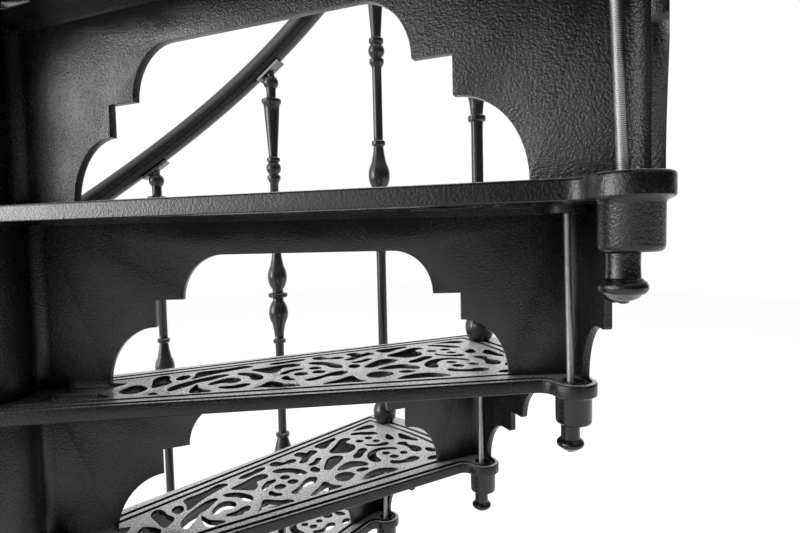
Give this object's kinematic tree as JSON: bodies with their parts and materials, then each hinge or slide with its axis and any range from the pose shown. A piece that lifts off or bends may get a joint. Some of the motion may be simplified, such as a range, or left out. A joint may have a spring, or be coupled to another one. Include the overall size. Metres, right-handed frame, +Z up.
{
  "type": "spiral staircase",
  "caption": "Cast iron spiral staircase with pierced treads, arched risers, turned balusters and a round tube handrail, climbing clockwise round a central newel.",
  "frame": {"origin": "centre of the base plate's underside, on the floor under the newel's axis", "axes": "+Z up along the newel; the flight climbs clockwise seen from above, and its eighth tread, the one nearest in the picture, points about 60 degrees to the right of -Y"},
  "size_m": [1.2967, 1.354, 3.4915],
  "materials": {
    "treads": "gloss black paint over rough casting",
    "risers": "gloss black paint over rough casting",
    "newel": "gloss black paint over rough casting",
    "base_plate": "gloss black paint over rough casting",
    "floor_shoe": "gloss black paint over rough casting",
    "balusters": "gloss black paint over turned casting",
    "handrail": "gloss black paint",
    "saddles": "bare steel",
    "tie_rods": "zinc plated thread",
    "finial_nuts": "gloss black paint",
    "newel_core": "plain steel tube, hidden"
  },
  "bodies": {
    "root": {"tread_01": "treads", "tread_02": "treads", "tread_03": "treads", "tread_04": "treads", "tread_05": "treads", "tread_06": "treads", "tread_07": "treads", "tread_08": "treads", "tread_09": "treads", "tread_10": "treads", "tread_11": "treads", "tread_12": "treads", "riser_01": "risers", "riser_02": "risers", "riser_03": "risers", "riser_04": "risers", "riser_05": "risers", "riser_06": "risers", "riser_07": "risers", "riser_08": "risers", "riser_09": "risers", "riser_10": "risers", "riser_11": "risers", "riser_12": "risers", "baluster_01": "balusters", "baluster_02": "balusters", "baluster_03": "balusters", "baluster_04": "balusters", "baluster_05": "balusters", "baluster_06": "balusters", "baluster_07": "balusters", "baluster_08": "balusters", "baluster_09": "balusters", "baluster_10": "balusters", "baluster_11": "balusters", "baluster_12": "balusters", "handrail": "handrail", "saddles": "saddles", "tie_rods": "tie_rods", "finial_nuts": "finial_nuts", "newel_core": "newel_core", "newel_upper": "newel", "newel_cap": "newel", "base_plate": "base_plate", "floor_shoe": "floor_shoe"}
  },
  "joints": []
}
